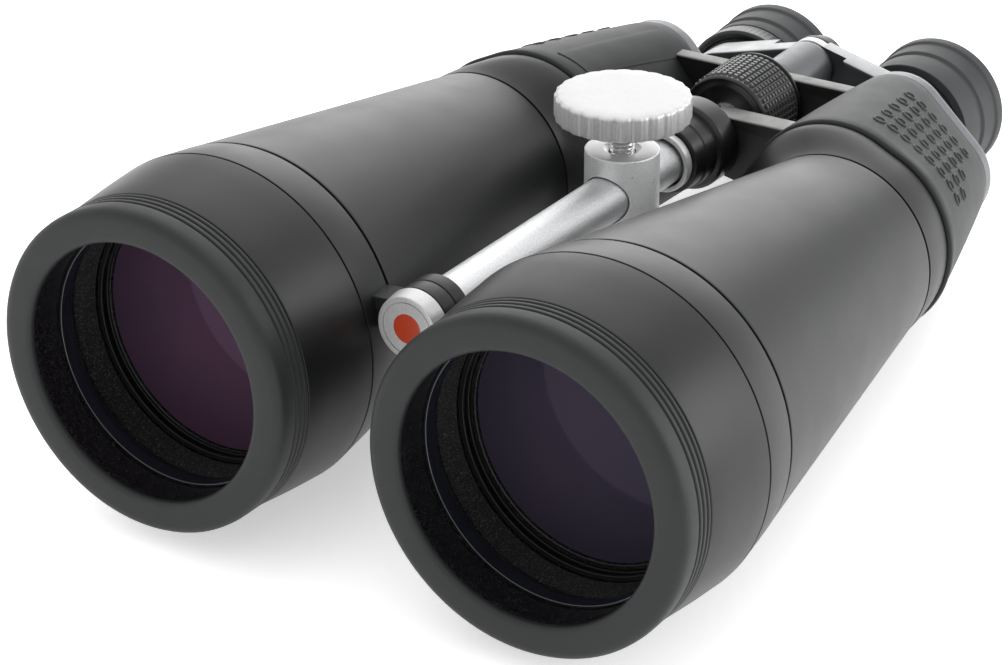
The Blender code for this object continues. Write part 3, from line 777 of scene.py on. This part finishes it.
# ---- eyepieces -------------------------------------------------------------------------------
def eyepiece(side_name, side, carrier, head):
    tube = side_name + "_eyepiece_tube"
    axis = axis_of(tube)
    low, high = span(tube)
    outer = radius_of(tube)
    profile = [(low.y, outer, 0.3), (high.y, outer, 0.3), (high.y, outer - 2.1), (low.y, outer - 2.1)]
    piece(turned(tube + "_sleeve", axis, soften(profile)), carrier, "black_metal", "black_satin", tube)

    node = side_name + "_eyepiece_head"
    low, high = span(node)
    outer = radius_of(node)
    bore = radius_of(side_name + "_eye_lens") + 0.3
    face = high.y
    profile = [(low.y, outer, 0.4), (face, outer, 0.6), (face, bore + 2.5, 0.4)]
    profile += [(face - 1.8, bore, 0.4), (low.y, bore, 0.3)]
    if side < 0:
        profile = profile[:-1] + [(low.y + 4.0, bore), (low.y + 4.0, 14.4), (low.y, 14.4)]
    piece(turned(node + "_barrel", axis, soften(profile)), head, "black_metal", "black_satin", node)

    node = side_name + "_eye_lens"
    low, high = span(node)
    outer = radius_of(node)
    profile = []
    for i in range(9):
        t = i / 8
        profile.append((low.y + 2.0 * t ** 2, outer * t))
    for i in range(9):
        t = 1 - i / 8
        profile.append((high.y - 1.5 * t ** 2, outer * t))
    piece(turned(node + "_glass", axis, profile), head, "coated_glass", "clear_glass", node)

    node = side_name + "_eyecup"
    lip = node + "_lip"
    low = span(node)[0]
    rear = span(lip)[1].y
    rim = radius_of(lip)
    head_r = radius_of(side_name + "_eyepiece_head")
    profile = [(low.y, rim - 1.6, 0.4)]
    step = rear - low.y - 16.0
    profile += [(low.y + step, rim - 1.5, 0.2), (low.y + step + 0.4, rim - 1.9, 0.2)]
    profile += [(low.y + step + 1.6, rim - 1.9, 0.3), (low.y + step + 2.6, rim - 1.0, 0.5)]
    profile += [(rear - 5.2, rim - 1.0, 0.6), (rear - 4.2, rim - 0.2, 0.6), (rear, rim, 1.2)]
    profile += [(rear, rim - 2.4, 1.0), (rear - 8.0, rim - 4.4, 2.0), (rear - 9.0, 13.6, 0.4)]
    profile += [(rear - 11.7, 13.6, 0.2), (rear - 11.7, head_r + 0.3), (low.y, head_r + 0.3, 0.3)]
    piece(turned(node + "_rubber", axis, soften(profile)), head, "ring_rubber", "eyecup", node, lip)


def diopter_ring():
    node = "right_diopter_ring"
    low, high = span(node)
    outer = radius_of(node)
    bore = radius_of("right_eyepiece_head") + 0.3
    ribs = 72
    angles = even_angles(ribs * 4)

    def relief(s, r, angle):
        if r < outer - 0.5 or s < low.y + 1.4 or s > high.y - 1.0:
            return r
        return r - 0.16 * (0.5 + 0.5 * math.cos(ribs * angle))

    profile = [(low.y, outer - 0.8, 0.6), (low.y + 0.8, outer, 0.3), (low.y + 1.4, outer)]
    profile += [(low.y + 1.6, outer), (high.y - 1.2, outer), (high.y - 1.0, outer)]
    profile += [(high.y, outer, 0.3), (high.y, bore, 0.2), (low.y, bore, 0.2)]
    ring = turned(node + "_knurl", axis_of(node), soften(profile), angles, relief)
    piece(ring, "diopter", "black_metal", "black_satin", node)


def bridge_arms():
    hinge_x, hinge_z = axis_of("focus_shaft")
    hub_r = 9.2
    shaft_bore = 3.5
    play = 0.15
    for side_name, side in SIDES:
        node = side_name + "_bridge_arm"
        body = side_name + "_carrier"
        eye_x, eye_z = axis_of(side_name + "_eyepiece_tube")
        eye_x = abs(eye_x)
        low, high = span(node)
        rear = high.y
        front = low.y if side > 0 else rear - 13.0
        through = (front - 2, rear + 2)
        circles = [(0.0, hinge_z, hub_r - 0.4), (eye_x - 2.0, eye_z + 5.0, 16.0)]
        arm = plate(node + "_casting", circles, (front, rear), side, 0.9, 96)
        split = span("right_bridge_arm")[1].y - 5.2
        other = (split - play, through[1]) if side < 0 else (through[0], split + play)
        carve(arm, drum((hinge_x, hinge_z), 15.0, other))
        carve(arm, drum((side * eye_x, eye_z), 11.7, through))
        carve(arm, drum((hinge_x, hinge_z), shaft_bore, through))
        piece(arm, body, "grey_metal", "grey_casting", node)
        # Painted shade: faces turned to the front, to the sides or downwards get a darker copy of the
        # casting's grey.
        arm.data.materials.append(LOOKS["casting_face"])
        for face in arm.data.polygons:
            if face.normal.y < -0.7 or face.normal.z < 0.1:
                face.material_index = 1
    low, high = span("right_bridge_arm")
    rear = high.y - 5.35
    profile = [(low.y, shaft_bore), (low.y, 8.0, 0.6), (low.y + 2.0, 8.8, 1.2)]
    profile += [(rear - 1.5, hub_r, 0.4), (rear, hub_r - 0.4, 0.4), (rear, shaft_bore)]
    hub = turned("right_bridge_arm_hub", (hinge_x, hinge_z), soften(profile))
    piece(hub, "right_carrier", "grey_metal", "hub_casting")
    rear = span("left_bridge_arm")[1].y
    split = rear - 2.4
    discs = (("ring", rear - 6.0, split, "turned"), ("rim", split, rear - 0.2, "black_satin"))
    for label, start, end, look in discs:
        profile = [(start, shaft_bore), (start, hub_r, 0.4), (end, hub_r, 0.5), (end, shaft_bore)]
        ring = turned("left_bridge_arm_" + label, (hinge_x, hinge_z), soften(profile))
        piece(ring, "left_carrier", "grey_metal", look)


# ---- central column --------------------------------------------------------------------------
def rod_and_cap():
    axis = axis_of("tripod_rod")
    low, high = span("tripod_rod")
    outer = radius_of("tripod_rod")
    profile = [(low.y, 0), (low.y, outer, 0.4), (high.y, outer, 0.4), (high.y, 0)]
    rod = turned("tripod_rod_blasted", axis, soften(profile, False))
    piece(rod, "rod", "satin_metal", "rod_silver", "tripod_rod")

    low, high = span("rod_end_cap")
    outer = radius_of("rod_end_cap")
    front = low.y
    face = outer - 0.7
    groove = face - 1.7
    profile = [(front + 0.15, 0), (front + 0.15, groove - 0.35), (front + 0.55, groove - 0.3)]
    profile += [(front + 0.55, groove), (front, groove + 0.05), (front, face, 0.5)]
    profile += [(high.y - 0.4, outer, 0.3), (high.y, outer - 0.3), (high.y, 0)]
    cap = turned("rod_end_cap_disc", axis, soften(profile, False))
    piece(cap, "rod", "bright_metal", "turned", "rod_end_cap")
    profile = [(front + 0.05, 0), (front + 0.05, 4.6, 0.08), (front + 0.5, 4.6), (front + 0.5, 0)]
    dot = turned("rod_end_cap_inlay", axis, soften(profile, False))
    piece(dot, "rod", "bright_metal", "enamel_red")

    low, high = span("rod_collar")
    outer = radius_of("rod_collar")
    bore = radius_of("tripod_rod") + 0.9
    profile = [(low.y, outer, 0.5), (high.y, outer, 0.3), (high.y, bore), (low.y, bore, 0.2)]
    collar = turned("rod_collar_ring", axis, soften(profile))
    piece(collar, "rod", "bright_metal", "turned", "rod_collar")


def hinge_sleeve():
    node = "hinge_sleeve"
    axis = axis_of(node)
    low, high = span(node)
    outer = radius_of(node)
    small = outer - 2.3
    step = low.y + 12.0
    bore = radius_of("tripod_rod") + 0.4
    profile = [(low.y, bore, 0.2), (low.y, small - 0.9, 0.6), (low.y + 5.6, small - 0.5, 0.2)]
    profile += [(low.y + 6.0, small, 0.25), (step - 0.6, small, 0.2), (step, outer - 1.0, 0.3)]
    profile += [(step + 1.0, outer, 0.5), (high.y, outer, 0.4), (high.y, bore, 0.2)]
    sleeve = turned(node + "_turned", axis, soften(profile))
    piece(sleeve, "left_half", "black_metal", "black_satin", node)


def focus_wheel():
    node = "focus_wheel"
    axis = axis_of(node)
    low, high = span(node)
    outer = radius_of(node)
    bore = radius_of("hinge_axle") + 0.3
    core = outer - 1.8
    front, rear = low.y, high.y
    profile = [(front, outer - 1.6, 0.5), (front + 1.2, outer - 0.8, 0.4), (front + 1.7, core)]
    profile += [(rear - 1.7, core), (rear - 1.2, outer, 0.4), (rear, outer - 0.2, 0.4)]
    profile += [(rear, bore, 0.2), (front + 1.6, bore), (front + 1.6, 11.8, 0.6)]
    profile += [(front + 0.6, outer - 3.0, 0.4)]
    wheel = turned(node + "_core", axis, soften(profile))
    piece(wheel, "focus", "black_metal", "black_satin", node)

    low, high = span("focus_grip")
    around = 46
    along = 10
    edge = 0.8
    pitch = (high.y - low.y - 2 * edge) / along
    angles = []
    for i in range(around):
        for share in (0.07, 0.22, 0.78, 0.93):
            angles.append(2 * math.pi * (i + share) / around)
    raised_angles = {round(angles[i], 6) for i in range(len(angles)) if i % 4 in (1, 2)}
    stations = [low.y, low.y + 0.3]
    raised_rows = set()
    for i in range(along):
        for k, share in enumerate((0.08, 0.24, 0.76, 0.92)):
            y = low.y + edge + pitch * (i + share)
            stations.append(y)
            if k in (1, 2):
                raised_rows.add(round(y, 6))
    stations += [high.y - 0.3, high.y]

    def relief(s, r, angle):
        taper = 0.4 * (high.y - s) / (high.y - low.y)
        up = round(s, 6) in raised_rows and round(angle, 6) in raised_angles
        return r - taper + (0.0 if up or r < core + 0.5 else -0.8)

    profile = [(y, outer - 0.02) for y in stations]
    profile += [(high.y, core + 0.1), (low.y, core + 0.1)]
    grip = turned("focus_grip_studs", axis, profile, angles, relief, sharp=25)
    piece(grip, "focus", "armour_rubber", "studs", "focus_grip")


def shaft_parts():
    axis = axis_of("focus_shaft")
    low, high = span("focus_shaft")
    outer = radius_of("focus_shaft")
    profile = [(low.y, 0), (low.y, outer, 0.5), (high.y, outer, 0.3), (high.y, 0)]
    shaft = turned("focus_shaft_rod", axis, soften(profile, False))
    piece(shaft, "left_carrier", "satin_metal", "rod_silver", "focus_shaft")
    low, high = span("focus_shaft_cap")
    outer = radius_of("focus_shaft_cap")
    profile = [(low.y, 0), (low.y, outer, 0.3), (high.y, outer - 0.2, 1.1), (high.y, 4.0, 0.2)]
    profile += [(high.y - 0.5, 3.6, 0.2), (high.y - 0.5, 0)]
    cap = turned("focus_shaft_cap_turned", axis, soften(profile, False))
    piece(cap, "left_carrier", "black_metal", "black_satin", "focus_shaft_cap")
    low, high = span("hinge_axle")
    outer = radius_of("hinge_axle")
    profile = [(low.y, outer, 0.3), (high.y, outer, 0.4), (high.y, outer - 2.6), (low.y, outer - 2.6)]
    axle = turned("hinge_axle_tube", axis, soften(profile))
    piece(axle, "left_half", "satin_metal", "thread_steel", "hinge_axle")


def tripod_post():
    low, high = span("tripod_post")
    rod_x, rod_z = axis_of("tripod_rod")
    centre = ((low.x + high.x) / 2, (low.y + high.y) / 2)
    outer = radius_of("tripod_post")
    stud_bore = 5.0
    well = high.z - 2.2
    profile = [(low.z, 3.2, 0.3), (low.z, outer - 0.4, 0.8), (low.z + 1.0, outer, 0.5)]
    profile += [(high.z, outer, 0.5), (high.z, stud_bore + 1.0, 0.2), (high.z - 1.0, stud_bore - 0.6)]
    profile += [(well, stud_bore - 0.6), (rod_z, stud_bore - 0.6), (rod_z, 3.2)]
    post = turned("tripod_post_block", centre, soften(profile), upright=True)
    carve(post, drum((rod_x, rod_z), radius_of("tripod_rod") + 0.45, (low.y - 3, high.y + 3)))
    piece(post, "post", "satin_metal", "post_silver", "tripod_post")
    paint_top(post, "turned")


def clamp_knob():
    low, high = span("clamp_knob")
    centre = ((low.x + high.x) / 2, (low.y + high.y) / 2)
    outer = radius_of("clamp_knob")
    under = high.z - 8.2
    stud_r = 4.0
    lobes = 24

    def relief(s, r, angle):
        share = max(0.0, min(1.0, (r - outer + 2.2) / 2.0))
        scallop = 0.55 * (0.5 - 0.5 * math.cos(lobes * angle)) ** 2
        ridge = 0.22 * (0.5 - 0.5 * math.cos(3 * lobes * angle))
        return r - share * (scallop + ridge)

    profile = [(under, 0), (under, 6.0), (under, outer, 1.0), (high.z, outer, 1.2)]
    profile += [(high.z, outer - 6.0), (high.z, 0)]
    knob = turned("clamp_knob_head", centre, soften(profile, False), even_angles(lobes * 18), relief, True)
    piece(knob, "clamp", "bright_metal", "turned", "clamp_knob")
    paint_top(knob, "faced_top")

    pitch = 1.25
    depth = 0.55
    steps = int((under - low.z) / pitch * 10)

    def thread(s, r, angle):
        phase = (s / pitch - angle / (2 * math.pi)) % 1.0
        return r - depth * abs(2 * phase - 1)

    profile = [(low.z, 0)]
    profile += [(low.z + (under + 0.3 - low.z) * i / steps, stud_r) for i in range(steps + 1)]
    profile += [(under + 0.3, 0)]
    stud = turned("clamp_knob_stud", centre, profile, even_angles(48), thread, True, sharp=30)
    piece(stud, "clamp", "bright_metal", "thread_steel")


def kept_nodes():
    """CAD nodes that stay as they are, inside the instrument, with a finished material."""
    for side_name, _ in SIDES:
        for label in ("flint_lens", "field_lens", "front_prism", "rear_prism"):
            repaint(side_name + "_" + label, "clear_glass")
        repaint(side_name + "_prism_shelf", "black_satin")
    repaint("right_diopter_sleeve", "black_satin")
    repaint("clamp_pad", "ring_rubber")


def repaint(node, look):
    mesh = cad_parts[node].data
    mesh.materials.clear()
    mesh.materials.append(LOOKS[look])


# ---- studio ----------------------------------------------------------------------------------
def studio():
    """Pale floor under the hoods and the eyecup lips, three soft lights and the camera."""
    hood_low, hood_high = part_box("left_objective_hood")
    lip_low, lip_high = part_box("left_eyecup_lip")
    rest_y = hood_high.y
    rest_z = hood_low.z
    rise = lip_low.z - rest_z
    run = lip_high.y - rest_y
    bm = bmesh.new()
    size = 6.0
    signs = ((-1, -1), (1, -1), (1, 1), (-1, 1))
    bm.faces.new([bm.verts.new((x * size, y * size, 0.0)) for x, y in signs])
    mesh = bpy.data.meshes.new("floor")
    bm.to_mesh(mesh)
    bm.free()
    floor = bpy.data.objects.new("floor", mesh)
    floor.location = (0.0, rest_y, rest_z - 0.0002)
    floor.rotation_euler = (math.atan2(rise, run), 0.0, 0.0)
    mesh.materials.append(floor_material())
    bpy.context.scene.collection.objects.link(floor)

    world = bpy.data.worlds.new("studio")
    bpy.context.scene.world = world
    world.use_nodes = True
    background = world.node_tree.nodes["Background"]
    background.inputs["Color"].default_value = (1.0, 1.0, 1.0, 1.0)
    background.inputs["Strength"].default_value = 1.05

    softbox("overhead", (-0.35, 0.75, 1.7), (0.0, 0.05, 0.0), size=2.2, power=10.0)
    softbox("backdrop", (-0.75, 2.1, 0.62), (0.0, 0.0, 0.05), size=1.8, power=15.0)
    softbox("side_fill", (1.8, 0.9, 0.6), (0.05, 0.0, 0.05), size=1.6, power=20.0)

    camera_data = bpy.data.cameras.new("camera")
    camera_data.sensor_width = 36.0
    camera_data.lens = 113.13
    camera = bpy.data.objects.new("camera", camera_data)
    camera.location = (0.4616, -0.7969, 0.4616)
    view = Vector((-0.48313, 0.75968, -0.43528))
    camera.rotation_euler = view.to_track_quat("-Z", "Y").to_euler()
    bpy.context.scene.collection.objects.link(camera)
    bpy.context.scene.camera = camera
    bpy.context.scene.view_settings.view_transform = "Standard"


def softbox(name, place, target, size, power):
    """A round area light at place, aimed at target, its size in metres and its power in watts."""
    data = bpy.data.lights.new(name, "AREA")
    data.shape = "DISK"
    data.size = size
    data.energy = power
    lamp = bpy.data.objects.new(name, data)
    lamp.location = place
    lamp.rotation_euler = (Vector(target) - Vector(place)).to_track_quat("-Z", "Y").to_euler()
    bpy.context.scene.collection.objects.link(lamp)


def build():
    studio()
    for side_name, side in SIDES:
        half = side_name + "_half"
        front_ring(side_name, half)
        objective_hood(side_name, half)
        lens_group(side_name, half)
        front_bracket(side_name, side, half)
        barrel_cone(side_name, half)
        prism_box(side_name, side, half)
        hinge_plates(side_name, side, half)
    eyepiece("left", 1, "left_carrier", "left_carrier")
    eyepiece("right", -1, "right_carrier", "diopter")
    diopter_ring()
    bridge_arms()
    rod_and_cap()
    hinge_sleeve()
    focus_wheel()
    shaft_parts()
    tripod_post()
    clamp_knob()
    kept_nodes()


build()
